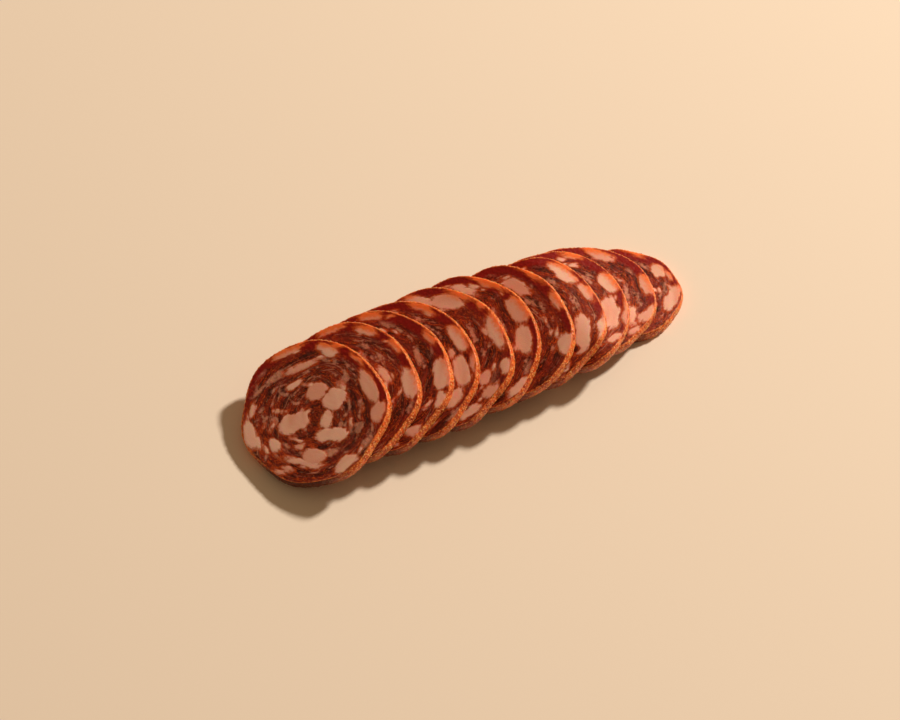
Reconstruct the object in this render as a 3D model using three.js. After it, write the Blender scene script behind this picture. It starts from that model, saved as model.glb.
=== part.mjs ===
// A saucisson cut into eleven slices, laid down as a fanned row.
// Each slice leans on the next one, and the last one lies flat.
// Millimetres, +Z up, +X along the row from the slice on top to the flat one.

import * as THREE from 'three';

// Sizes of one slice.
const SLICE_THICKNESS = 4.0;
const RIND_BULGE = 0.55;
const FACE_SINK = 0.25;

// The lean of the slices, and the stretch of the row over which it dies away before the flat slice.
const ROW_LEAN = THREE.MathUtils.degToRad(21);
const LEAN_FADE = 10;

// One entry a slice, from the top of the fan to the flat one: its size along the row and across
// it, how far it lies to the left of the row's line, the step from its low edge to the next one's,
// and the seed of its uneven outline.
const SLICES = [
  { along: 53.5, across: 58.5, shift: 5, step: 12.8, seed: 20579 },
  { along: 54.5, across: 57.5, shift: 5.3, step: 12.3, seed: 37253 },
  { along: 54.5, across: 58.5, shift: 3.6, step: 12.2, seed: 9790 },
  { along: 52.5, across: 59.5, shift: 2.4, step: 13, seed: 5404 },
  { along: 53, across: 60, shift: 0.5, step: 12.4, seed: 8263 },
  { along: 52.5, across: 59, shift: -0.7, step: 13.1, seed: 20967 },
  { along: 52.5, across: 57.5, shift: -3.2, step: 12.6, seed: 3123 },
  { along: 52, across: 55, shift: -5.2, step: 12.3, seed: 39235 },
  { along: 50.5, across: 55.5, shift: -5.2, step: 12.7, seed: 8035 },
  { along: 50.5, across: 52, shift: -4.4, step: 17.4, seed: 18076 },
  { along: 44.5, across: 43.5, shift: -7.2, step: 0, seed: 38208 },
];

// Unevenness of the outline: waves round the slice, coarse grains on its rind, and a last slice
// that narrows a little towards the end of the row.
const OUTLINE_WAVES = [3, 4, 5, 6, 7];
const OUTLINE_WAVE_HEIGHT = 0.3;
const RIND_GRAIN = 0.3;
const LAST_SLICE_TAPER = 0.06;

// How finely the shapes are cut into facets.
const SIDES = 64;
const BED_STEPS = 60;
const TOP_RINGS = [0.3, 0.62, 0.9];
const UNDERSIDE_RINGS = [0.6];

// The rind from the underside to the cut face: part of the thickness, and part of the bulge.
const RIND_PROFILE = [
  { height: 0, inset: 1 },
  { height: 0.22, inset: 0.2 },
  { height: 0.5, inset: 0 },
  { height: 0.78, inset: 0.2 },
  { height: 1, inset: 1 },
];

const MEAT = { color: 0x8a2f22, roughness: 0.5, metalness: 0 };

// Where the low edge of each slice touches the ground, the first at zero.
function lowEdges() {
  const edges = [0];
  for (const slice of SLICES.slice(0, -1)) {
    edges.push(edges[edges.length - 1] + slice.step);
  }
  return edges;
}

const LOW_EDGES = lowEdges();
const FLAT_FROM = LOW_EDGES[LOW_EDGES.length - 1];

// The lean of the row at a place along it: full at first, none from the flat slice on.
function leanAt(x) {
  const fade = THREE.MathUtils.smoothstep(FLAT_FROM - x, 0, LEAN_FADE);
  return Math.atan(Math.tan(ROW_LEAN) * fade);
}

// The point that lies a given distance up the underside of a slice, and the lean there.
function bedPoint(lowEdge, distance) {
  const stride = distance / BED_STEPS;
  let x = lowEdge;
  let z = 0;
  for (let i = 0; i < BED_STEPS; i += 1) {
    const lean = leanAt(x + stride / 2);
    x += stride * Math.cos(lean);
    z += stride * Math.sin(lean);
  }
  return { x, z, lean: leanAt(x) };
}

// A fixed number between 0 and 1 for three whole numbers, which jumps about as they change.
function scatter(a, b, c) {
  const wave = Math.sin(a * 12.9898 + b * 78.233 + c * 37.719) * 43758.5453;
  return wave - Math.floor(wave);
}

// How far the outline of a slice lies out of its oval, in millimetres.
function outlineWave(index, turn) {
  let wave = 0;
  for (const order of OUTLINE_WAVES) {
    const phase = 2 * Math.PI * scatter(SLICES[index].seed, order, 1);
    wave += OUTLINE_WAVE_HEIGHT * Math.cos(order * turn + phase);
  }
  return wave;
}

// A point of the outline in the slice's own plane, drawn in by a given distance.
function outlinePoint(index, turn, drawnIn) {
  const slice = SLICES[index];
  const grown = outlineWave(index, turn) - drawnIn;
  const last = index === SLICES.length - 1;
  const taper = last ? 1 - LAST_SLICE_TAPER * Math.cos(turn) : 1;
  return {
    along: slice.along / 2 + (slice.along / 2 + grown) * Math.cos(turn),
    across: (slice.across / 2 + grown) * taper * Math.sin(turn),
  };
}

// Puts a point of a slice's own plane, and a height above its underside, in the row. A low edge
// whose outline would reach into the ground is pressed flat on it.
function place(index, along, across, height) {
  const bed = bedPoint(LOW_EDGES[index], along);
  return [
    bed.x - height * Math.sin(bed.lean),
    SLICES[index].shift + across,
    Math.max(0, bed.z + height * Math.cos(bed.lean)),
  ];
}

// One ring of points on a face, at part of the way from its middle to its edge.
function faceRing(index, part, height, sink) {
  const centre = SLICES[index].along / 2;
  const ring = [];
  for (let side = 0; side < SIDES; side += 1) {
    const edge = outlinePoint(index, (2 * Math.PI * side) / SIDES, RIND_BULGE);
    const along = centre + part * (edge.along - centre);
    const depth = sink * scatter(index, side, Math.round(part * 100));
    ring.push(place(index, along, part * edge.across, height - depth));
  }
  return ring;
}

// One ring of points on the rind, with its coarse grains.
function rindRing(index, level) {
  const { height, inset } = RIND_PROFILE[level];
  const onCorner = level === 0 || level === RIND_PROFILE.length - 1;
  const ring = [];
  for (let side = 0; side < SIDES; side += 1) {
    const grain = onCorner ? 0 : RIND_GRAIN * (scatter(index, side, level) - 0.5);
    const edge = outlinePoint(index, (2 * Math.PI * side) / SIDES, RIND_BULGE * inset + grain);
    ring.push(place(index, edge.along, edge.across, height * SLICE_THICKNESS));
  }
  return ring;
}

// The rings of a slice in order: up its underside, over its rind and in over its cut face.
function sliceRings(index) {
  const underside = UNDERSIDE_RINGS.map((part) => faceRing(index, part, 0, 0));
  const rind = RIND_PROFILE.map((_, level) => rindRing(index, level));
  const cutFace = [...TOP_RINGS].reverse();
  const top = cutFace.map((part) => faceRing(index, part, SLICE_THICKNESS, FACE_SINK));
  return [...underside, ...rind, ...top];
}

// The closed surface of one slice.
function sliceGeometry(index) {
  const rings = sliceRings(index);
  const points = rings.flat();
  const middle = SLICES[index].along / 2;
  const undersideMiddle = points.push(place(index, middle, 0, 0)) - 1;
  const topMiddle = points.push(place(index, middle, 0, SLICE_THICKNESS)) - 1;
  const lastRing = (rings.length - 1) * SIDES;
  const faces = [];
  for (let side = 0; side < SIDES; side += 1) {
    const next = (side + 1) % SIDES;
    faces.push(undersideMiddle, next, side);
    for (let ring = 0; ring < rings.length - 1; ring += 1) {
      const below = ring * SIDES;
      const above = below + SIDES;
      faces.push(below + side, below + next, above + next);
      faces.push(below + side, above + next, above + side);
    }
    faces.push(topMiddle, lastRing + side, lastRing + next);
  }
  const geometry = new THREE.BufferGeometry();
  geometry.setAttribute('position', new THREE.Float32BufferAttribute(points.flat(), 3));
  geometry.setIndex(faces);
  geometry.computeVertexNormals();
  return geometry;
}

// The row of slices, with its origin under the middle of its box.
function buildRow() {
  const row = new THREE.Group();
  for (let index = 0; index < SLICES.length; index += 1) {
    const slice = new THREE.Mesh(sliceGeometry(index), new THREE.MeshStandardMaterial(MEAT));
    slice.name = `slice_${String(index + 1).padStart(2, '0')}`;
    row.add(slice);
  }
  const box = new THREE.Box3().setFromObject(row);
  const centre = box.getCenter(new THREE.Vector3());
  row.position.set(-centre.x, -centre.y, -box.min.z);
  return row;
}

const saucisson = buildRow();

export default saucisson;
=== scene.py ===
# %% [markdown]
# # A saucisson in eleven slices
# A saucisson is a dry-cured sausage: coarse lean meat and cubes of firm back fat, stuffed into a
# casing and hung for weeks. Here it is cut and laid down as a fanned row.
# The solids come from a CAD frame with the right sizes and places, but with plain faces. Blender
# gives the looks: each solid is replaced by a fine mesh of the same form, with fat, lean and rind.

# %% The frame
import math

import bpy
import numpy as np
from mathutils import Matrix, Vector


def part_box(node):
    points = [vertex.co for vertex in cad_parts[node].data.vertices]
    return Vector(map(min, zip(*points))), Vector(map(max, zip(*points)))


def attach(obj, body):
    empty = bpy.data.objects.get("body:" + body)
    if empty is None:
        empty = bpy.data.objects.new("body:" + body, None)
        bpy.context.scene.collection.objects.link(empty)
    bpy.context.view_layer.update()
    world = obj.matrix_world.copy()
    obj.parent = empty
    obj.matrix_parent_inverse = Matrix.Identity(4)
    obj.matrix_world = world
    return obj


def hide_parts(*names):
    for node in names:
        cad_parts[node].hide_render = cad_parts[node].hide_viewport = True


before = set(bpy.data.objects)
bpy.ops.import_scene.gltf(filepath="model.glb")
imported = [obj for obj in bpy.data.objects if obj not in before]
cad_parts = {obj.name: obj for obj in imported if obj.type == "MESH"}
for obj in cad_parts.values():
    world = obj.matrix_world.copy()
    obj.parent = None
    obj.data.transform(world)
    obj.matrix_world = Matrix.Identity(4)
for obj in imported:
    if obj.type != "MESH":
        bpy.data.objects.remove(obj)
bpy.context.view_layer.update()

NODES = sorted(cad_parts)
print("nodes to dress:", len(NODES))

# %% [markdown]
# ## Units and colours
# Blender works in metres, but food is easier to think of in millimetres. Every size below is
# written in millimetres, and is turned to metres where a mesh or a lamp is made.
# Colours are written as sRGB hex, as a colour picker gives them. Shaders work in linear light, so
# one function does that step for every colour in the file.

# %% Units and colours
MM = 0.001


def linear(colour):
    """An sRGB hex colour such as 'C0FFEE' as linear red, green, blue and alpha."""
    parts = [int(colour[i : i + 2], 16) / 255 for i in (0, 2, 4)]
    return [p / 12.92 if p <= 0.04045 else ((p + 0.055) / 1.055) ** 2.4 for p in parts] + [1.0]


print("mid grey in linear light:", round(linear("808080")[0], 3))

# %% [markdown]
# ## The camera
# The camera comes first, so that every look after it is judged from the same place. It looks down
# at the row from its left end. A long lens keeps the near and the far slices alike in size.
# Azimuth is 0 where the camera looks along +Y, and elevation is its height above the horizon.

# %% The camera
CAMERA_AZIMUTH = -34.1
CAMERA_ELEVATION = 51.6
CAMERA_DISTANCE = 829.8
CAMERA_AIM = (-4.3, 4.8, 0.0)
CAMERA_LENS = 90.0
SENSOR_WIDTH = 36.0


def way_to(azimuth, elevation):
    """The unit vector from the row to a camera or lamp at that azimuth and elevation."""
    turn, rise = math.radians(azimuth), math.radians(elevation)
    return Vector((math.sin(turn) * math.cos(rise), -math.cos(turn) * math.cos(rise), math.sin(rise)))


def aim_at(thing, azimuth, elevation, distance, aim):
    """Puts a camera or a lamp at a distance from a point and turns it to that point."""
    way = way_to(azimuth, elevation)
    thing.location = (Vector(aim) + way * distance) * MM
    thing.rotation_euler = way.to_track_quat("Z", "Y").to_euler()
    bpy.context.collection.objects.link(thing)


lens = bpy.data.cameras.new("camera")
lens.lens = CAMERA_LENS
lens.sensor_width = SENSOR_WIDTH
lens.clip_start = 0.01
camera = bpy.data.objects.new("camera", lens)
aim_at(camera, CAMERA_AZIMUTH, CAMERA_ELEVATION, CAMERA_DISTANCE, CAMERA_AIM)
bpy.context.scene.camera = camera
print("camera at", [round(v, 3) for v in camera.location])

# %% [markdown]
# ## The row
# The slices lie like fallen dominoes: each leans on the next, and the last lies flat. The same few
# sizes that drive the solids are repeated here, so that the fine meshes keep their forms: how long
# a slice is along the row and across it, how far it lies to the left of the row's line, the step
# to the next slice's low edge, and the seed of its uneven outline.

# %% Sizes of the slices
SLICE_THICKNESS = 4.0
RIND_BULGE = 0.55
ROW_LEAN = math.radians(21)
LEAN_FADE = 10.0
ROW_START = (-87.03, -0.41)
SLICES = [
    dict(along=53.5, across=58.5, shift=5, step=12.8, seed=20579),
    dict(along=54.5, across=57.5, shift=5.3, step=12.3, seed=37253),
    dict(along=54.5, across=58.5, shift=3.6, step=12.2, seed=9790),
    dict(along=52.5, across=59.5, shift=2.4, step=13, seed=5404),
    dict(along=53, across=60, shift=0.5, step=12.4, seed=8263),
    dict(along=52.5, across=59, shift=-0.7, step=13.1, seed=20967),
    dict(along=52.5, across=57.5, shift=-3.2, step=12.6, seed=3123),
    dict(along=52, across=55, shift=-5.2, step=12.3, seed=39235),
    dict(along=50.5, across=55.5, shift=-5.2, step=12.7, seed=8035),
    dict(along=50.5, across=52, shift=-4.4, step=17.4, seed=18076),
    dict(along=44.5, across=43.5, shift=-7.2, step=0, seed=38208),
]
LOW_EDGES = np.cumsum([0] + [s["step"] for s in SLICES[:-1]])
FLAT_FROM = LOW_EDGES[-1]
print("low edges in mm:", LOW_EDGES.round(1))

# %% [markdown]
# ## The bed under each slice
# A slice isn't bent by hand. It follows the lean of the row, which dies away just before the flat
# slice, so the last slices droop onto it. Walking up the underside in small steps gives the height
# and the lean at every distance, and everything else is placed on that line.

# %% The bed
BED_STEP = 0.1
BED_SPARE = 3.0


def lean_at(x):
    """The lean of the row at a place along it: full at first, none from the flat slice on."""
    fade = min(max((FLAT_FROM - x) / LEAN_FADE, 0), 1)
    return math.atan(math.tan(ROW_LEAN) * fade * fade * (3 - 2 * fade))


def walk(x, step, count):
    """Places along the underside from x on, as rows of x, z and lean."""
    rows = [(x, 0.0, lean_at(x))]
    for _ in range(count):
        x, z, _lean = rows[-1]
        lean = lean_at(x + step / 2)
        x, z = x + step * math.cos(lean), z + step * math.sin(lean)
        rows.append((x, z, lean_at(x)))
    return rows


def bed_under(index):
    """Distances up the underside of a slice, and x, z and the lean at each."""
    before = round(BED_SPARE / BED_STEP)
    after = round((SLICES[index]["along"] + BED_SPARE) / BED_STEP)
    down = walk(LOW_EDGES[index], -BED_STEP, before)[:0:-1]
    up = walk(LOW_EDGES[index], BED_STEP, after)
    return np.arange(-before, after + 1) * BED_STEP, np.array(down + up)


def place(index, along, across, height):
    """Points of a slice's own plane, at heights above its underside, in the frame in mm."""
    distance, rows = bed_under(index)
    x, z, lean = (np.interp(along, distance, column) for column in rows.T)
    high = np.maximum(0, z + height * np.cos(lean))
    flat = x - height * np.sin(lean) + ROW_START[0]
    return np.stack([flat, SLICES[index]["shift"] + across + ROW_START[1], high], axis=-1)


print("slice 10 leans", round(math.degrees(bed_under(9)[1][60, 2]), 1), "degrees near its low edge")

# %% [markdown]
# ## The outline
# A sausage hangs in its casing and dries unevenly, so a slice is an oval with a few low waves.
# The waves' phases come from a fixed scatter function and the slice's seed.

# %% The outline
WAVE_ORDERS = (3, 4, 5, 6, 7)
WAVE_HEIGHT = 0.3
LAST_TAPER = 0.06


def scatter(a, b, c):
    """A fixed number between 0 and 1 for three numbers, which jumps about as they change."""
    wave = np.sin(a * 12.9898 + b * 78.233 + c * 37.719) * 43758.5453
    return wave - np.floor(wave)


def edge_point(index, turn, share, drawn_in):
    """Along and across in mm, at a share of the way from the middle to the edge of a slice."""
    s = SLICES[index]
    phases = [2 * math.pi * scatter(s["seed"], order, 1) for order in WAVE_ORDERS]
    waves = sum(np.cos(order * turn + phase) for order, phase in zip(WAVE_ORDERS, phases))
    grown = WAVE_HEIGHT * waves - drawn_in
    taper = 1 - LAST_TAPER * np.cos(turn) if index == len(SLICES) - 1 else 1
    along = s["along"] / 2 + share * (s["along"] / 2 + grown) * np.cos(turn)
    return along, share * (s["across"] / 2 + grown) * taper * np.sin(turn)


print("slice 1 reaches", np.round(edge_point(0, 0.0, 1, 0)[0], 1), "mm along")

# %% [markdown]
# ## The fat
# What the eye knows a saucisson by is its mosaic: cubes of back fat, cut through at random and
# drawn out along the whorl that the filling takes on its way into the casing. Noise alone gives
# camouflage, not cubes, so the pieces that show are placed one by one, in millimetres: how far along
# and across the slice, length, width, and the turn in degrees. A last number says how pure the fat
# is, from 1 for a clean cube down to 0 for a smear in the lean.

# %% The pieces of fat
FAT = {
    1: [
        (18.8, 1.0, 11.6, 7.4, -12, 1), (32.3, 5.1, 8.2, 6.9, 0, 1), (35.3, -2.1, 9.2, 8.0, 20, 1),
        (41.0, 0.9, 7.5, 3.4, 28, 0.6), (28.6, -7.2, 6.6, 4.2, 30, 1), (30.4, -6.0, 3.2, 3.4, 60, 1),
        (26.5, -13.2, 11.5, 5.4, -38, 1), (17.0, -14.6, 8.8, 5.6, -52, 1),
        (22.0, -18.0, 8.0, 3.0, -30, 0.6), (12.6, -13.8, 14.0, 2.6, -52, 0.9),
        (24.2, -25.8, 9.2, 4.4, -8, 1), (7.4, -12.6, 4.6, 2.0, -62, 0.9), (4.8, -11.4, 5.0, 1.7, -64, 0.8),
        (8.6, -1.2, 5.4, 2.8, 85, 0.9), (5.1, -0.8, 2.8, 1.5, 80, 0.8), (3.4, -3.2, 2.6, 1.5, 30, 0.6),
        (4.2, 7.6, 12.0, 4.4, 74, 1), (9.4, 15.8, 6.4, 2.2, 34, 0.8), (15.6, 20.6, 8.0, 2.2, 8, 0.7),
        (23.4, 20.8, 9.0, 2.8, -2, 0.7), (20.0, 26.2, 5.6, 3.6, 10, 0.6), (33.8, 17.2, 12.4, 3.0, -25, 1),
        (27.4, 12.7, 5.4, 2.4, -14, 0.8), (22.4, 12.0, 4.8, 1.7, -38, 0.7), (23.6, 16.2, 6.0, 1.3, -14, 0.6),
        (44.4, 16.2, 9.2, 4.4, -62, 1), (41.6, 13.8, 6.4, 1.2, -64, 0.6), (47.9, -7.2, 14.4, 4.8, 78, 1),
        (44.7, -17.6, 8.4, 4.8, 38, 1), (35.2, -24.0, 8.0, 3.0, 16, 0.7), (35.4, -17.4, 5.0, 3.0, 18, 0.7),
        (50.6, 4.8, 7.2, 1.9, 88, 0.9), (33.0, 26.1, 13.0, 2.8, -13, 0.9), (48.5, 14.6, 4.2, 1.8, -60, 1),
        (43.8, 2.8, 4.6, 1.8, 72, 0.6), (46.8, 6.0, 5.4, 1.1, 86, 0.5), (13.8, 6.6, 4.0, 3.2, 60, 0.6),
        (17.6, 8.0, 4.4, 1.5, -40, 0.8), (38.0, -8.2, 6.4, 1.1, 62, 0.7), (42.0, -10.0, 3.0, 1.6, 40, 0.7),
        (16.0, -6.2, 3.8, 0.9, 108, 0.9), (10.6, 9.0, 6.0, 1.2, 80, 0.6), (24.0, 7.2, 5.0, 1.4, -50, 0.4),
        (30.0, 10.4, 5.0, 1.1, -20, 0.5), (40.0, -13.4, 5.6, 1.2, 58, 0.6), (12.4, 13.6, 2.4, 1.8, 40, 0.6),
    ],
    2: [
        (38.8, 24.4, 11.0, 3.4, -22, 0.8), (47.4, 14.6, 9.4, 3.4, -66, 1), (43.4, 9.4, 5.2, 2.0, -55, 0.7),
        (41.6, 7.0, 3.4, 1.6, -60, 0.7), (52.0, 1.4, 6.4, 3.2, 88, 1), (42.4, -4.8, 7.6, 2.8, 84, 0.9),
        (47.6, -14.4, 12.4, 5.8, 58, 1), (42.8, -22.0, 6.0, 2.4, 30, 0.6), (45.6, 1.6, 4.4, 1.2, 80, 0.5),
        (44.0, 12.8, 4.0, 1.0, -60, 0.5),
    ],
    3: [
        (40.6, 22.8, 9.0, 3.8, -38, 0.9), (43.8, 15.6, 8.6, 1.9, -66, 0.7), (45.8, 10.2, 4.4, 1.8, -72, 0.7),
        (52.0, -0.6, 6.4, 3.0, 89, 1), (45.0, -3.6, 7.2, 2.4, 80, 0.6), (47.2, -15.2, 12.2, 6.2, 60, 1),
        (41.0, -23.2, 6.6, 3.6, 33, 1), (44.6, -8.0, 3.4, 1.4, 70, 0.6), (46.8, 5.0, 3.6, 1.0, 84, 0.5),
    ],
    4: [
        (39.6, 21.6, 3.4, 1.6, -20, 0.7), (46.0, 15.6, 11.6, 3.2, -67, 0.9), (48.6, -4.4, 12.6, 5.4, 86, 1),
        (41.8, -16.0, 12.8, 6.0, 63, 1), (42.9, -7.8, 4.4, 2.4, 72, 0.9), (47.0, -16.6, 8.0, 2.2, 56, 0.8),
        (38.6, 25.0, 7.0, 1.8, -36, 0.7), (43.0, 8.4, 6.6, 1.3, -72, 0.6), (44.6, 2.2, 4.4, 1.1, -80, 0.5),
        (31.0, -27.4, 7.4, 2.2, 8, 0.7),
    ],
    5: [
        (42.4, 15.6, 13.0, 5.8, -52, 1), (48.0, 13.6, 9.4, 2.0, -66, 0.8), (50.9, 5.2, 4.6, 2.2, 86, 0.8),
        (48.7, -7.4, 15.4, 4.6, 73, 1), (43.6, -21.2, 5.8, 3.6, 36, 0.9), (36.2, 24.2, 3.2, 1.8, 60, 0.6),
        (42.0, -1.6, 7.6, 2.4, 78, 0.7), (34.6, -19.8, 5.6, 4.2, 40, 0.8), (33.6, -25.8, 7.4, 2.6, 12, 0.8),
        (40.4, -11.4, 4.0, 1.8, 65, 0.5), (38.0, 27.2, 9.0, 1.6, -32, 0.7),
    ],
    6: [
        (38.8, 18.6, 10.6, 2.8, -62, 1), (46.6, 15.6, 17.0, 3.0, -65, 0.8), (48.4, -2.6, 11.4, 6.2, 86, 1),
        (43.3, -14.2, 12.2, 5.8, 62, 1), (30.4, -27.2, 9.4, 3.4, 4, 1), (41.6, 3.4, 4.0, 1.6, 70, 0.4),
        (37.8, -23.6, 5.6, 2.4, 26, 0.5), (41.0, -3.4, 4.8, 1.4, 82, 0.5),
    ],
    7: [
        (42.2, 10.8, 12.2, 4.2, -66, 1), (42.0, 2.4, 4.6, 3.0, -50, 0.7), (48.7, 12.4, 13.6, 2.4, -72, 0.8),
        (49.2, -4.2, 7.2, 2.8, 80, 1), (41.8, -20.6, 8.8, 5.2, 38, 1), (37.6, 22.4, 4.0, 2.0, -30, 0.7),
        (41.4, -9.6, 5.2, 1.6, 78, 0.5), (44.2, -2.8, 4.8, 1.2, 84, 0.5),
    ],
    8: [
        (46.2, 8.8, 12.6, 5.0, -80, 0.8), (48.9, 12.2, 7.0, 2.4, -68, 1), (48.3, -3.2, 9.2, 4.2, 84, 1),
        (43.4, -19.8, 12.4, 2.8, 50, 1), (37.0, -17.0, 14.0, 4.8, 60, 1), (33.2, -22.4, 4.8, 2.8, 20, 0.8),
        (41.2, 8.2, 5.6, 2.0, -78, 0.6), (38.6, 22.0, 6.0, 1.8, -34, 0.7), (42.2, -4.6, 5.6, 1.5, 80, 0.5),
    ],
    9: [
        (47.0, -1.4, 11.2, 5.6, 88, 1), (38.6, -13.0, 15.0, 6.4, 61, 1), (44.0, -15.2, 12.4, 2.2, 56, 0.9),
        (43.6, 17.0, 7.6, 3.2, -52, 0.9), (39.2, 18.0, 3.0, 2.2, -50, 0.8), (46.8, 10.0, 10.6, 2.8, -70, 0.7),
        (40.8, 5.4, 7.4, 1.7, -80, 0.6), (33.0, 23.8, 6.6, 1.8, -24, 0.7),
    ],
    10: [
        (47.0, -7.2, 10.2, 4.2, 78, 0.9), (39.2, -19.2, 9.4, 4.2, 22, 1), (33.8, -16.4, 9.4, 3.2, 54, 0.9),
        (41.4, 14.0, 12.0, 4.0, -60, 0.8), (30.2, -22.4, 6.0, 2.0, 14, 0.8), (46.4, 1.6, 5.6, 2.4, 80, 0.6),
        (38.6, -6.4, 8.4, 1.8, 70, 0.5), (41.0, -11.0, 5.6, 1.5, 55, 0.5), (37.0, 19.2, 5.4, 1.7, -46, 0.7),
    ],
    11: [
        (39.6, 1.6, 6.4, 5.4, 70, 0.8), (41.2, -3.0, 5.6, 2.0, 70, 0.8), (35.8, -12.2, 12.6, 4.4, 34, 0.8),
        (37.4, 13.6, 9.4, 2.8, -56, 0.9), (33.6, -17.8, 8.6, 1.9, 20, 0.7), (37.0, -6.4, 6.4, 1.6, 60, 0.6),
        (36.4, 6.4, 5.4, 1.5, -70, 0.6), (33.2, -8.4, 5.0, 1.5, 50, 0.6),
    ],
}
print("pieces placed by hand:", sum(len(pieces) for pieces in FAT.values()))

# %% [markdown]
# Where a slice is covered by the next one, and for the crumbs of fat between the large cubes, a
# rule is enough: a seeded draw spreads pieces over the slice and turns each along the whorl.

# %% Pieces of fat by rule
COVERED_BELOW = 17.0
CUBES_BY_RULE = 15
CRUMBS_BY_RULE = 70
WHORL_MIDDLE = 0.06


def whorl_centre(index):
    """Where the filling turns round, a little off the middle of the slice."""
    s = SLICES[index]
    off_along = (scatter(s["seed"], 3, 5) - 0.5) * 2 * WHORL_MIDDLE * s["along"]
    off_across = (scatter(s["seed"], 4, 6) - 0.5) * 2 * WHORL_MIDDLE * s["across"]
    return s["along"] / 2 + off_along, off_across


def drawn_piece(index, draw, length, pure):
    """One piece at a random place of a slice, lying along the whorl."""
    along, across = edge_point(index, draw.uniform(0, 2 * math.pi), 0.95 * math.sqrt(draw.uniform()), 1)
    middle = whorl_centre(index)
    turn = math.degrees(math.atan2(across - middle[1], along - middle[0])) + 90 + draw.normal(0, 14)
    return along, across, length, length * draw.uniform(0.35, 0.6), turn, pure


def pieces_by_rule(index):
    """The covered cubes and the crumbs of a slice."""
    draw = np.random.default_rng(SLICES[index]["seed"])
    covered = SLICES[index]["along"] - COVERED_BELOW
    cubes = [drawn_piece(index, draw, draw.uniform(5, 11), 1) for _ in range(CUBES_BY_RULE)]
    cubes = [c for c in cubes if index and c[0] < covered]
    sizes, purities = draw.uniform(1.0, 3.4, CRUMBS_BY_RULE), draw.uniform(0.3, 0.9, CRUMBS_BY_RULE)
    return cubes + [drawn_piece(index, draw, *crumb) for crumb in zip(sizes, purities)]


print("pieces by rule on slice 2:", len(pieces_by_rule(1)))

# %% [markdown]
# ## How deep in the fat
# The shader has to know what is fat and what is lean. Each vertex gets a number for that: how many
# millimetres it lies inside a piece of fat, and below zero outside. A picture of colours would
# blur at the cube's edge, but a distance stays smooth, so the shader can cut a crisp edge from it.
# Two such numbers are kept, one for clean fat and one for smears.

# %% Depth in the fat
RAGGED_NEAR = (0.7, 3.6)
RAGGED_FINE = (0.12, 1.2)


def hills(x, y, size, seed):
    """Smooth random hills from 0 to 1, about size mm apart."""
    i, j = np.floor(x / size), np.floor(y / size)
    u, v = x / size - i, y / size - j
    u, v = u * u * (3 - 2 * u), v * v * (3 - 2 * v)
    low = scatter(i, j, seed) * (1 - u) + scatter(i + 1, j, seed) * u
    high = scatter(i, j + 1, seed) * (1 - u) + scatter(i + 1, j + 1, seed) * u
    return low * (1 - v) + high * v


def ragged(along, across, seed):
    """The same places, pushed about a little, so that no cube keeps a drawn edge."""
    for reach, size in (RAGGED_NEAR, RAGGED_FINE):
        push_along = (hills(along, across, size, seed) - 0.5) * 2 * reach
        push_across = (hills(along, across, size, seed + 7) - 0.5) * 2 * reach
        along, across = along + push_along, across + push_across
    return along, across


def depth_in(pieces, along, across):
    """How deep each place lies in the nearest of these pieces, in mm, and that piece's tone."""
    depth, tone = np.full(along.shape, -9.0), np.zeros(along.shape)
    for at_along, at_across, length, width, turn, _pure in pieces:
        own_tone = scatter(at_along, at_across, 1)
        power = 2 + 0.8 * own_tone
        c, s = math.cos(math.radians(turn)), math.sin(math.radians(turn))
        x = ((along - at_along) * c + (across - at_across) * s) * 2 / length
        y = ((across - at_across) * c - (along - at_along) * s) * 2 / width
        reach = (np.abs(x) ** power + np.abs(y) ** power) ** (1 / power)
        own = (1 - reach) * width / 2
        tone = np.where(own > depth, own_tone, tone)
        depth = np.maximum(depth, own)
    return depth, tone


print("depth in the middle of a 4 mm piece:", depth_in([(0, 0, 6, 4, 0, 1)], np.zeros(1), np.zeros(1))[0])

# %% [markdown]
# ## The fine mesh of a slice
# The cut face is a square grid pressed onto a disc, which keeps its cells alike all over, without
# the pole that rings round a middle would give. The rind goes down from the grid's border in rows,
# and a grid twice as coarse closes the underside, which nobody looks at closely.

# %% A square grid as a disc
FACE_CELLS = 176
RIND_ROWS = 18


def disc_grid(cells):
    """Shares of the way out and turns of a square grid pressed onto a disc."""
    u, v = np.meshgrid(np.linspace(-1, 1, cells + 1), np.linspace(-1, 1, cells + 1), indexing="ij")
    wide = np.abs(u) >= np.abs(v)
    share = np.where(wide, u, v)
    with np.errstate(divide="ignore", invalid="ignore"):
        turn = np.where(wide, v / u, 2 - u / v) * math.pi / 4
    turn[cells // 2, cells // 2] = 0
    x, y = share * np.cos(turn), share * np.sin(turn)
    return np.hypot(x, y).ravel(), np.arctan2(y, x).ravel()


def grid_border(cells):
    """The numbers of the border's points of such a grid, once round against the clock."""
    side = np.arange(cells)
    number = lambda i, j: i * (cells + 1) + j
    right = number(cells, side)
    top = number(cells - side, cells)
    left = number(0, cells - side)
    bottom = number(side, 0)
    return np.concatenate([right, top, left, bottom])


def grid_faces(cells, start, flip):
    """The four-cornered faces of such a grid."""
    i, j = (a.ravel() for a in np.meshgrid(np.arange(cells), np.arange(cells), indexing="ij"))
    corner = start + i * (cells + 1) + j
    faces = np.stack([corner, corner + cells + 1, corner + cells + 2, corner + 1], axis=1)
    return faces[:, ::-1] if flip else faces


print("cells across a cut face:", FACE_CELLS, "points round its border:", 4 * FACE_CELLS)

# %% Rings and seams
UNDERSIDE_SHARE = 0.985


def ring_faces(upper, lower):
    """The faces between two rings of points that go round alike, the upper one first."""
    return np.stack([upper, lower, np.roll(lower, -1), np.roll(upper, -1)], axis=1)


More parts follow.
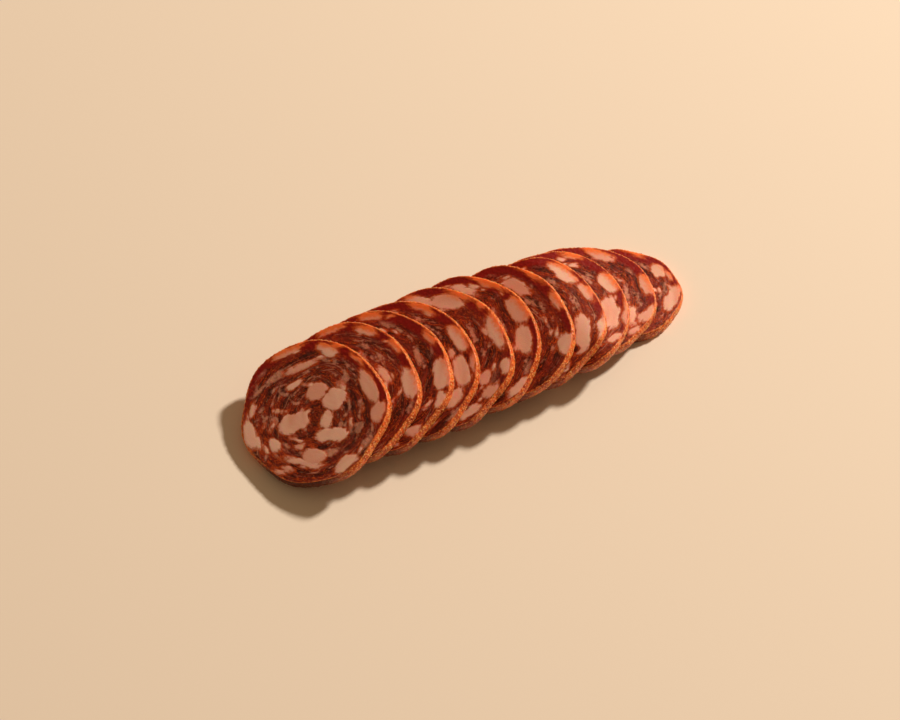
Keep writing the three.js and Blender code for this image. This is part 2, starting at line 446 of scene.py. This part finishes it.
def seam_faces(fine, coarse):
    """Triangles that join a ring to one with half its points, inside it and facing down."""
    even, odd, after = fine[::2], fine[1::2], np.roll(fine, -2)[::2]
    following = np.roll(coarse, -1)
    return np.concatenate([
        np.stack([even, coarse, odd], axis=1),
        np.stack([coarse, following, odd], axis=1),
        np.stack([following, after, odd], axis=1),
    ])


def rind_profile():
    """Heights as a share of the thickness from the top down, and how far in each lies, in mm."""
    share = (1 + np.cos(np.linspace(0, math.pi, RIND_ROWS + 1))) / 2
    return share[1:], RIND_BULGE * np.abs(2 * share[1:] - 1) ** 2.8


print("rows down the rind:", RIND_ROWS)

# %% [markdown]
# The numbers that the shader reads go onto the mesh as attributes. Besides the two depths there is
# the distance from the rind, because the outer band lets light through; from it comes a painted
# glow, light drawn into the colour near the rind and strongest on the side that faces the lamp.
# There is also a point for the whorl, stretched so that a plain noise read there comes out as
# streaks that run round the slice.

# %% Numbers for the shader
WHORL_STRETCH = 4.0
WHORL_CORE = 8.0
WHORL_TWIST = 0.045
# How far in from the rind the painted glow reaches, in mm, and the turn of the side toward the lamp, where it
# is strongest.
PAINTED_GLOW_REACH = 4.2
PAINTED_GLOW_SIDE = math.radians(40)
CLEAN_FROM = 0.75


def whorl_point(index, along, across):
    """A point in mm that moves fast across the whorl and slowly round it."""
    middle = whorl_centre(index)
    seed = SLICES[index]["seed"]
    bent_along = along + 3.0 * (hills(along, across, 9, seed) - 0.5)
    bent_across = across + 3.0 * (hills(along, across, 9, seed + 3) - 0.5)
    out = np.hypot(bent_along - middle[0], bent_across - middle[1])
    turn = np.arctan2(bent_across - middle[1], bent_along - middle[0]) + WHORL_TWIST * out
    round_it = WHORL_STRETCH * np.minimum(1, out / WHORL_CORE)
    return np.stack([round_it * np.cos(turn), round_it * np.sin(turn), out + 40 * index], axis=-1)


def shader_numbers(index, turn, share, along, across):
    """The attributes of the points of a cut face."""
    pieces = FAT[index + 1] + pieces_by_rule(index)
    near_along, near_across = ragged(along, across, SLICES[index]["seed"] % 97)
    edge = np.hypot(*np.subtract(edge_point(index, turn, 1, RIND_BULGE), edge_point(index, turn, 0, 0)))
    rim = (1 - share) * edge
    # The painted glow is strongest on the side toward the lamp and fades to none on the far side.
    side = 0.5 + 0.5 * np.cos(turn - PAINTED_GLOW_SIDE)
    clean, tone = depth_in([p for p in pieces if p[5] >= CLEAN_FROM], near_along, near_across)
    smeared, _tone = depth_in([p for p in pieces if p[5] < CLEAN_FROM], near_along, near_across)
    return {
        "fat": clean,
        "tone": tone,
        "smear": smeared,
        "rim": rim,
        "painted_glow": np.exp(-((rim / PAINTED_GLOW_REACH) ** 1.5)) * side,
        "whorl": whorl_point(index, along, across),
    }


print("numbers on each point:", "fat, tone, smear, rim, glow and whorl")

# %% Points and faces of a slice
def slice_points(index):
    """The points of a slice in mm, and the numbers for the shader on each."""
    share, turn = disc_grid(FACE_CELLS)
    border = grid_border(FACE_CELLS)
    along, across = edge_point(index, turn, share, RIND_BULGE)
    points = [place(index, along, across, SLICE_THICKNESS)]
    numbers = [shader_numbers(index, turn, share, along, across)]
    for height, inset in zip(*rind_profile()):
        row = edge_point(index, turn[border], 1, inset)
        points.append(place(index, *row, height * SLICE_THICKNESS))
        numbers.append({name: values[border] for name, values in numbers[0].items()})
    share, turn = disc_grid(FACE_CELLS // 2)
    along, across = edge_point(index, turn, share * UNDERSIDE_SHARE, RIND_BULGE)
    points.append(place(index, along, across, 0))
    numbers.append(shader_numbers(index, turn, share, along, across))
    return np.concatenate(points), {k: np.concatenate([n[k] for n in numbers]) for k in numbers[0]}


def slice_faces():
    """The faces of any slice, as lists of corners, and for each whether it is rind."""
    border = grid_border(FACE_CELLS)
    face_count = (FACE_CELLS + 1) ** 2
    rings = [border]
    for row in range(RIND_ROWS):
        rings.append(face_count + row * len(border) + np.arange(len(border)))
    under = face_count + RIND_ROWS * len(border)
    inner = under + grid_border(FACE_CELLS // 2)
    top = grid_faces(FACE_CELLS, 0, False)
    rind = np.concatenate([ring_faces(a, b) for a, b in zip(rings, rings[1:])])
    seam = seam_faces(rings[-1], inner)
    bottom = grid_faces(FACE_CELLS // 2, under, True)
    faces = top.tolist() + rind.tolist() + seam.tolist() + bottom.tolist()
    is_rind = np.zeros(len(faces), bool)
    is_rind[len(top) : len(top) + len(rind)] = True
    return faces, is_rind


FACES, IS_RIND = slice_faces()
print("faces in a slice:", len(FACES), "of them rind:", int(IS_RIND.sum()))

# %% A mesh from points and numbers
def put_number(mesh, name, values, domain="POINT"):
    """Writes one attribute onto a mesh."""
    kinds = {"b": ("BOOLEAN", "value"), "f": ("FLOAT", "value"), "v": ("FLOAT_VECTOR", "vector")}
    kind, slot = kinds["v" if values.ndim > 1 else "b" if values.dtype == bool else "f"]
    attribute = mesh.attributes.new(name, kind, domain)
    attribute.data.foreach_set(slot, np.ascontiguousarray(values).ravel())


def slice_object(index):
    """The fine mesh of one slice, before its relief."""
    points, numbers = slice_points(index)
    mesh = bpy.data.meshes.new(f"cut_{NODES[index]}")
    mesh.from_pydata((points * MM).tolist(), [], FACES)
    for name, values in numbers.items():
        put_number(mesh, name, values.astype(np.float32))
    put_number(mesh, "is_rind", IS_RIND, "FACE")
    mesh.shade_smooth()
    thing = bpy.data.objects.new(f"cut_{NODES[index]}", mesh)
    bpy.context.collection.objects.link(thing)
    return thing


cuts = [slice_object(index) for index in range(len(SLICES))]
for thing, node in zip(cuts, NODES):
    own = np.array([thing.bound_box[0], thing.bound_box[6]])
    off = np.abs(own - np.array([list(c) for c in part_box(node)])).max() / MM
    print(thing.name, "differs from its solid's box by at most", round(off, 2), "mm")

# %% [markdown]
# ## Building node trees
# Both Geometry Nodes and materials are trees of nodes, and a script that builds them fills up with
# the same three lines: add a node, set its options, link its inputs. One small function does that
# for every tree below. An input is given by its name or its place, and is a value or another
# node's socket.

# %% One node in a tree
def add(tree, kind, inputs=None, out=0, **settings):
    """Adds a node with its settings and links, and returns one of its output sockets."""
    node = tree.nodes.new(kind)
    for name, value in settings.items():
        setattr(node, name, value)
    for name, value in (inputs or {}).items():
        if isinstance(value, bpy.types.NodeSocket):
            tree.links.new(value, node.inputs[name])
        else:
            node.inputs[name].default_value = value
    return node.outputs[out] if len(node.outputs) else None


def new_material(name):
    """An empty material and its tree."""
    material = bpy.data.materials.new(name)
    material.use_nodes = True
    material.node_tree.nodes.clear()
    return material, material.node_tree


# The kinds of node that come up again and again, and the settings of three of them.
MATHS, MIX, RANGE = "ShaderNodeMath", "ShaderNodeMix", "ShaderNodeMapRange"
NOISE, VECTOR = "ShaderNodeTexNoise", "ShaderNodeVectorMath"
TIMES = dict(operation="MULTIPLY")
EASED = dict(interpolation_type="SMOOTHSTEP")
COLOURS = dict(data_type="RGBA", out=2)
print("one function adds every node below")

# %% [markdown]
# ## The cut face
# Cured lean is myoglobin red gone brown, with pale sinew in it. Back fat is a firm, waxy cream.
# Both are slightly see-through: light that enters at the rim comes out again as deep red and
# orange. So the shader scatters light below the surface, and near the rind on the lamp's side that
# red and orange is also painted into the colour. A painted highlight runs along the cut edge, and
# the lean carries painted glints and painted shade in its pits. Otherwise the colour follows the
# depths on the mesh: the fat's edge is cut from its depth plus a fine noise, and everything else is
# layered in between, from the lean up.

# %% Colours of the cut face
LEAN_DARK = linear("460802")
LEAN_MID = linear("84220E")
LEAN_LIGHT = linear("B24624")
SINEW = linear("D88E72")
FAT_ROSY = linear("E8A892")
FAT_PALE = linear("F4C4B0")
SMEAR = linear("D4937C")
OIL_LINE = linear("D05414")
# Painted shade: the pits of the lean's grain are drawn nearly black.
PIT_SHADE = linear("2E0602")
# Painted light: near the rind on the lamp's side, the lean and the fat are drawn glowing deep red and orange,
# as light shining through them.
PAINTED_GLOW_LEAN = linear("8E0800")
PAINTED_GLOW_FAT = linear("F07830")
# A painted highlight: the cut edge is drawn bright orange all round, as where it catches the light.
PAINTED_EDGE_HIGHLIGHT = linear("F88C44")
# Painted glints: small bright specks drawn on the lean, as greasy shine.
PAINTED_GLINT = linear("FF9850")
print("colours of the cut face are set")

# %% Noises of the cut face
# Where each is read, its size in mm, its detail, its roughness and its distortion.
CUT_NOISES = {
    "edge": ("place", 1.4, 3.0, 0.6, 0.0),
    "cloud": ("whorl", 4.2, 2.0, 0.5, 0.0),
    "grain": ("place", 0.5, 2.0, 0.6, 0.0),
    "streak": ("whorl", 2.0, 6.0, 0.66, 0.5),
    "sinew": ("whorl", 1.3, 4.0, 0.6, 1.2),
}
print("noises of the cut face:", list(CUT_NOISES))


# %% The material of the cut face
def cut_face_material():
    """Cured lean and back fat, cut with a knife: greasy, slightly see-through."""
    material, tree = new_material("cured_lean_and_back_fat")
    fat, tone, smear, rim, painted_glow = (
        add(tree, "ShaderNodeAttribute", out="Fac", attribute_name=name)
        for name in ("fat", "tone", "smear", "rim", "painted_glow")
    )
    where = {
        "place": add(tree, VECTOR, {0: add(tree, "ShaderNodeTexCoord", out="Object"), "Scale": 1 / MM},
                     operation="SCALE"),
        "whorl": add(tree, "ShaderNodeAttribute", out="Vector", attribute_name="whorl"),
    }
    edge, cloud, grain, streak, sinew = (
        add(tree, NOISE, {"Vector": where[space], "Scale": 1 / size, "Detail": detail,
                          "Roughness": roughness, "Distortion": distortion})
        for space, size, detail, roughness, distortion in CUT_NOISES.values()
    )
    fat_edge = add(tree, MATHS, {0: edge, 1: 1.0, 2: fat}, operation="MULTIPLY_ADD")
    fat_edge = add(tree, MATHS, {0: streak, 1: 2.4, 2: fat_edge}, operation="MULTIPLY_ADD")
    smear_edge = add(tree, MATHS, {0: edge, 1: 2.4, 2: smear}, operation="MULTIPLY_ADD")
    rim_edge = add(tree, MATHS, {0: edge, 1: 1.6, 2: rim}, operation="MULTIPLY_ADD")
    # Where the painted glow lies, with a ragged inner edge.
    painted_glow_edge = add(tree, MATHS, {0: edge, 1: 0.5, 2: painted_glow}, operation="MULTIPLY_ADD")
    rosy = add(tree, MATHS, {0: tone, 1: 0.5, 2: cloud}, operation="MULTIPLY_ADD")

    # Each mask: what it is read from, where it starts and ends, and its strength there.
    masks = [
        (streak, 0.4, 0.56, 0, 1),
        (streak, 0.55, 0.75, 0, 0.85),
        (sinew, 0.52, 0.68, 0, 0.8),
        (smear_edge, 0.9, 1.9, 0, 1),
        (streak, 0.3, 0.6, 0.5, 1.0),
        (fat_edge, 1.0, 1.5, 0, 0.6),
        (fat_edge, 1.4, 2.15, 0, 1),
        (rosy, 0.5, 1.0, 0, 1),
        # Painted shade in the pits, where the grain is low.
        (grain, 0.3, 0.42, 0.7, 0),
        # Painted glints where the grain is high.
        (grain, 0.62, 0.74, 0, 0.7),
        (cloud, 0.42, 0.6, 0.1, 1),
        # The painted highlight along the cut edge.
        (rim_edge, 0.7, 1.35, 0.75, 0),
        # The painted glow: red over the lean, then orange over the fat.
        (painted_glow_edge, 0.45, 0.85, 0, 1),
        (painted_glow_edge, 0.6, 1.1, 0, 0.95),
    ]
    mid, light, pale_streak, smeared, thin, halo, clean, cream, pit_shade, painted_glint, here, painted_edge_highlight, red, orange = (
        add(tree, RANGE, {0: source, 1: low, 2: high, 3: at_low, 4: at_high}, **EASED)
        for source, low, high, at_low, at_high in masks
    )
    oil_line = add(tree, MATHS, {0: sinew, 1: 0.44, 2: 0.014}, operation="COMPARE")
    smeared = add(tree, MATHS, {0: smeared, 1: thin}, **TIMES)
    painted_glint = add(tree, MATHS, {0: painted_glint, 1: here}, **TIMES)
    pale_streak = add(tree, MATHS, {0: pale_streak, 1: here}, **TIMES)
    fat_colour = add(tree, MIX, {0: cream, 6: FAT_ROSY, 7: FAT_PALE}, **COLOURS)
    fat_colour = add(tree, MIX, {0: orange, 6: fat_colour, 7: PAINTED_GLOW_FAT}, **COLOURS)

    # From the lean up, each layer covers the ones before it by its own amount.
    colour = LEAN_DARK
    for amount, above in [
        (mid, LEAN_MID), (light, LEAN_LIGHT), (pale_streak, SINEW), (oil_line, OIL_LINE), (pit_shade, PIT_SHADE),
        (smeared, SMEAR), (painted_glint, PAINTED_GLINT), (red, PAINTED_GLOW_LEAN), (halo, OIL_LINE), (clean, fat_colour),
        (painted_edge_highlight, PAINTED_EDGE_HIGHLIGHT),
    ]:
        colour = add(tree, MIX, {0: amount, 6: colour, 7: above}, **COLOURS)

    height = add(tree, MATHS, {0: clean, 1: 1.2, 2: grain}, operation="MULTIPLY_ADD")
    bump = add(tree, "ShaderNodeBump", {"Strength": 0.5, "Distance": 0.12 * MM, "Height": height})
    shader = add(tree, "ShaderNodeBsdfPrincipled", {
        "Base Color": colour,
        "Roughness": add(tree, RANGE, {0: streak, 1: 0.3, 2: 0.7, 3: 0.36, 4: 0.6}),
        "IOR": 1.45,
        "Specular IOR Level": 0.3,
        "Subsurface Weight": 0.8,
        "Subsurface Radius": (1.0, 0.28, 0.1),
        "Subsurface Scale": add(tree, RANGE, {0: clean, 3: 0.5 * MM, 4: 2.4 * MM}),
        "Coat Weight": 0.06,
        "Coat Roughness": 0.25,
        "Normal": bump})
    add(tree, "ShaderNodeOutputMaterial", {"Surface": shader})
    return material


CUT_FACE = cut_face_material()
print("nodes in", CUT_FACE.name, len(CUT_FACE.node_tree.nodes))

# %% [markdown]
# ## The rind
# The casing is thin gut, dried hard onto the meat. Paprika oil has come through it and stands in
# beads between its wrinkles, which glow orange against the light, over a darker red skin. On the
# side away from the lamp, rind and beads alike are drawn in a painted shade.

# %% The material of the rind
# Painted shade, for the side of the rind away from the lamp.
RIND_PAINTED_SHADE = linear("3A0802")
RIND_DARK = linear("9C2A0C")
RIND_MID = linear("E86C26")
RIND_LIGHT = linear("FFB068")
BEAD_LIGHT = linear("FFCE96")
RIND_GRAIN = 1.0


def rind_material(name, dark, mid, light):
    """Dried casing soaked with paprika oil: pebbled, slightly see-through, with a greasy shine, and a painted
    shade on the side away from the lamp.
    """
    material, tree = new_material(name)
    where = add(tree, VECTOR, {0: add(tree, "ShaderNodeTexCoord", out="Object"), "Scale": 1 / MM},
                operation="SCALE")
    broad = add(tree, NOISE, {"Vector": where, "Scale": 1 / 2.4, "Detail": 4.0})
    pebble = add(tree, "ShaderNodeTexVoronoi", {"Vector": where, "Scale": 1 / RIND_GRAIN}, out="Distance")
    skin = add(tree, RANGE, {0: broad, 1: 0.3, 2: 0.6})
    top = add(tree, RANGE, {0: pebble, 1: 0.5, 2: 0.1, 3: 0.0, 4: 0.8})
    colour = add(tree, MIX, {0: skin, 6: dark, 7: mid}, **COLOURS)
    colour = add(tree, MIX, {0: top, 6: colour, 7: light}, **COLOURS)
    # Painted shade: where the painted glow is low, on the side away from the lamp, the colour is drawn dark.
    lit = add(tree, "ShaderNodeAttribute", out="Fac", attribute_name="painted_glow")
    painted_shade = add(tree, RANGE, {0: lit, 1: 0.02, 2: 0.16, 3: 0.9, 4: 0.0}, **EASED)
    colour = add(tree, MIX, {0: painted_shade, 6: colour, 7: RIND_PAINTED_SHADE}, **COLOURS)
    bump = add(tree, "ShaderNodeBump", {
        "Strength": 0.7, "Distance": 0.2 * MM, "Height": pebble}, invert=True)
    shader = add(tree, "ShaderNodeBsdfPrincipled", {
        "Base Color": colour,
        "Roughness": 0.36,
        "IOR": 1.46,
        "Specular IOR Level": 0.35,
        "Subsurface Weight": 0.6,
        "Subsurface Radius": (1.0, 0.3, 0.1),
        "Subsurface Scale": 1.2 * MM,
        "Coat Weight": 0.12,
        "Coat Roughness": 0.15,
        "Normal": bump})
    add(tree, "ShaderNodeOutputMaterial", {"Surface": shader})
    return material


RIND = rind_material("dried_casing", RIND_DARK, RIND_MID, RIND_LIGHT)
BEADS = rind_material("beads_of_paprika_oil", RIND_MID, RIND_LIGHT, BEAD_LIGHT)
print("materials of the rind:", RIND.name, "and", BEADS.name)

# %% [markdown]
# ## Relief by Geometry Nodes
# A knife doesn't leave a flat face: the firm fat stands a little above the lean, which shrinks as
# it dries and tears along its grain, and the rind wrinkles. The same rule holds for all slices, so
# one Geometry Nodes tree does it, with its sizes as named inputs. It reads the depths on the mesh,
# moves each point along its normal, and gives the faces their two materials.

# %% The relief tree
def new_tree(name, inputs):
    """A Geometry Nodes tree, the sockets of its named inputs, and the values that they give."""
    tree = bpy.data.node_groups.new(name, "GeometryNodeTree")
    tree.is_modifier = True
    tree.interface.new_socket("Geometry", in_out="INPUT", socket_type="NodeSocketGeometry")
    tree.interface.new_socket("Geometry", in_out="OUTPUT", socket_type="NodeSocketGeometry")
    sockets = {}
    for label, value in inputs.items():
        kind = "NodeSocketInt" if isinstance(value, int) else "NodeSocketFloat"
        sockets[label] = tree.interface.new_socket(label, in_out="INPUT", socket_type=kind)
        sockets[label].default_value = value
    return tree, sockets, add(tree, "NodeGroupInput").node.outputs


def relief_tree():
    """Relief of the cut face and the rind."""
    tree, sockets, ask = new_tree("slice_relief", {
        "Fat stands": 0.04, "Lean tears": 0.2, "Tear size": 1.2, "Rind wrinkles": 0.36, "Wrinkle size": 1.1})
    here = add(tree, VECTOR, {0: add(tree, "GeometryNodeInputPosition"), "Scale": 1 / MM}, operation="SCALE")
    fat, rim, is_rind = (
        add(tree, "GeometryNodeInputNamedAttribute", {"Name": name}, data_type=kind)
        for name, kind in (("fat", "FLOAT"), ("rim", "FLOAT"), ("is_rind", "BOOLEAN"))
    )
    waves = []
    for size, height in (("Tear size", "Lean tears"), ("Wrinkle size", "Rind wrinkles")):
        scale = add(tree, MATHS, {0: 1.0, 1: ask[size]}, operation="DIVIDE")
        noise = add(tree, NOISE, {"Vector": here, "Scale": scale, "Detail": 3.0})
        centred = add(tree, MATHS, {0: noise, 1: 0.5}, operation="SUBTRACT")
        doubled = add(tree, MATHS, {0: ask[height], 1: 2.0}, **TIMES)
        waves.append(add(tree, MATHS, {0: centred, 1: doubled}, **TIMES))
    in_fat = add(tree, RANGE, {0: fat, 1: -0.3, 2: 0.6})
    in_lean = add(tree, RANGE, {0: fat, 1: -0.3, 2: 0.6, 3: 1.0, 4: 0.12})
    tears = add(tree, MATHS, {0: in_lean, 1: waves[0]}, **TIMES)
    face = add(tree, MATHS, {0: in_fat, 1: ask["Fat stands"], 2: tears}, operation="MULTIPLY_ADD")
    on_rim = add(tree, RANGE, {0: rim, 1: 0.5, 2: 0.0})
    height = add(tree, MIX, {0: on_rim, 2: face, 3: waves[1]})
    push = add(tree, VECTOR, {0: add(tree, "GeometryNodeInputNormal"),
                              "Scale": add(tree, MATHS, {0: height, 1: MM}, **TIMES)}, operation="SCALE")
    moved = add(tree, "GeometryNodeSetPosition", {"Geometry": ask["Geometry"], "Offset": push})
    whole = add(tree, "GeometryNodeRealizeInstances", {"Geometry": moved})
    cut = add(tree, "GeometryNodeSetMaterial", {"Geometry": whole, "Material": CUT_FACE})
    skinned = add(tree, "GeometryNodeSetMaterial", {"Geometry": cut, "Selection": is_rind, "Material": RIND})
    add(tree, "NodeGroupOutput", {0: skinned})
    return tree, sockets


RELIEF, RELIEF_INPUTS = relief_tree()
print("inputs of the relief:", list(RELIEF_INPUTS))

# %% [markdown]
# A modifier's input is set by its socket's identifier before the first evaluation. The result is
# then taken as a plain mesh and the modifier goes, so that each part holds real geometry and no
# recipe.

# %% From a modifier to a plain mesh
def bake(thing, tree, sockets, values, name):
    """Runs a tree on an object and returns a new object with the plain mesh that it gives."""
    modifier = thing.modifiers.new(tree.name, "NODES")
    modifier.node_group = tree
    for label, value in values.items():
        modifier[sockets[label].identifier] = value
    graph = bpy.context.evaluated_depsgraph_get()
    mesh = bpy.data.meshes.new_from_object(thing.evaluated_get(graph), depsgraph=graph)
    mesh.name = name
    thing.modifiers.remove(modifier)
    bpy.data.objects.remove(thing)
    made = bpy.data.objects.new(name, mesh)
    bpy.context.collection.objects.link(made)
    return made


slices = []
for index, thing in enumerate(cuts):
    dressed = bake(thing, RELIEF, RELIEF_INPUTS, {"Lean tears": 0.2}, f"cured_{NODES[index]}")
    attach(dressed, "root")
    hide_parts(NODES[index])
    slices.append(dressed)
print("slices:", len(slices), "points in the first:", len(slices[0].data.vertices))

# %% [markdown]
# ## Beads on the rind
# Oil and the casing's pebbles stand on the rind as beads of about half a millimetre. Thousands of
# them are far too many to place by hand, so Geometry Nodes spread points over the rind and put a
# small, low shape on each. A bead has only twenty faces: it is seen from an arm's length.

# %% Beads by Geometry Nodes
BEAD_SIZE = 0.5
BEAD_GAP = 0.62
BEADS_PER_MM2 = 1.5


def rind_only():
    """An object with the rinds of all slices, for the beads to stand on."""
    used, local = np.unique(np.array([f for f, rind in zip(FACES, IS_RIND) if rind]), return_inverse=True)
    faces = [local.reshape(-1, 4) + index * len(used) for index in range(len(slices))]
    points, painted_glow = [], []
    for dressed in slices:
        count = len(dressed.data.vertices)
        own, lit = np.empty(count * 3), np.empty(count)
        dressed.data.vertices.foreach_get("co", own)
        dressed.data.attributes["painted_glow"].data.foreach_get("value", lit)
        points.append(own.reshape(-1, 3)[used])
        painted_glow.append(lit[used])
    mesh = bpy.data.meshes.new("rinds")
    mesh.from_pydata(np.concatenate(points).tolist(), [], np.concatenate(faces).tolist())
    put_number(mesh, "painted_glow", np.concatenate(painted_glow))
    thing = bpy.data.objects.new("rinds", mesh)
    bpy.context.collection.objects.link(thing)
    return thing


def bead_tree():
    """Small beads, spread over a mesh."""
    tree, sockets, ask = new_tree("rind_beads", {
        "Bead size": BEAD_SIZE, "Gap": BEAD_GAP, "Per mm2": BEADS_PER_MM2, "Seed": 5})
    gap, density, radius = (
        add(tree, MATHS, {0: ask[label], 1: factor}, **TIMES)
        for label, factor in (("Gap", MM), ("Per mm2", 1 / MM**2), ("Bead size", MM / 2))
    )
    points = add(tree, "GeometryNodeDistributePointsOnFaces", {
        "Mesh": ask["Geometry"], "Distance Min": gap, "Density Max": density, "Seed": ask["Seed"]},
        distribute_method="POISSON")
    bead = add(tree, "GeometryNodeMeshIcoSphere", {"Radius": radius, "Subdivisions": 1})
    smooth = add(tree, "GeometryNodeSetShadeSmooth", {"Geometry": bead})
    flat = add(tree, "FunctionNodeRandomValue", {
        0: (0.7, 0.55, 0.35), 1: (1.5, 1.0, 0.8), "Seed": ask["Seed"]}, data_type="FLOAT_VECTOR")
    stand = add(tree, "GeometryNodeInstanceOnPoints", {
        "Points": points, "Instance": smooth, "Rotation": points.node.outputs["Rotation"], "Scale": flat})
    whole = add(tree, "GeometryNodeRealizeInstances", {"Geometry": stand})
    done = add(tree, "GeometryNodeSetMaterial", {"Geometry": whole, "Material": BEADS})
    add(tree, "NodeGroupOutput", {0: done})
    return tree, sockets


tree, sockets = bead_tree()
beads = bake(rind_only(), tree, sockets, {"Seed": 5}, "rind_beads")
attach(beads, "root")
print("faces in the beads:", len(beads.data.polygons))

# %% [markdown]
# ## Floor and light
# A row of food wants one lamp low on the far side, as a window is. It skims the cut faces, so that
# their grain shows, and shines through the rims. A weak, even sky fills the shadows.

# %% Floor and light
FLOOR_COLOUR = linear("F0E4D6")
FLOOR_SIZE = 6000
FLOOR_DROP = 0.15
KEY_AZIMUTH = 95
KEY_ELEVATION = 34
KEY_DISTANCE = 3000
KEY_SIZE = 300
KEY_POWER = 112
KEY_COLOUR = linear("FFF0DC")[:3]
SKY_COLOUR = linear("FFD2A0")
SKY_STRENGTH = 0.25


def floor_material():
    """Matt, pale paint."""
    material, tree = new_material("pale_matt_paint")
    shader = add(tree, "ShaderNodeBsdfPrincipled", {"Base Color": FLOOR_COLOUR, "Roughness": 0.8})
    add(tree, "ShaderNodeOutputMaterial", {"Surface": shader})
    return material


half = FLOOR_SIZE * MM / 2
ground = bpy.data.meshes.new("floor")
corners = ((-half, -half), (half, -half), (half, half), (-half, half))
ground.from_pydata([(x, y, -FLOOR_DROP * MM) for x, y in corners], [], [(0, 1, 2, 3)])
ground.materials.append(floor_material())
floor = bpy.data.objects.new("floor", ground)
bpy.context.collection.objects.link(floor)


lamp = bpy.data.lights.new("key", "AREA")
lamp.size = KEY_SIZE * MM
lamp.energy = KEY_POWER
lamp.color = KEY_COLOUR
aim_at(bpy.data.objects.new("key", lamp), KEY_AZIMUTH, KEY_ELEVATION, KEY_DISTANCE, CAMERA_AIM)

sky = bpy.data.worlds.new("sky")
sky.use_nodes = True
sky.node_tree.nodes["Background"].inputs["Color"].default_value = SKY_COLOUR
sky.node_tree.nodes["Background"].inputs["Strength"].default_value = SKY_STRENGTH
bpy.context.scene.world = sky
bpy.context.scene.view_settings.view_transform = "Standard"
print("lamps:", len(bpy.data.lights))
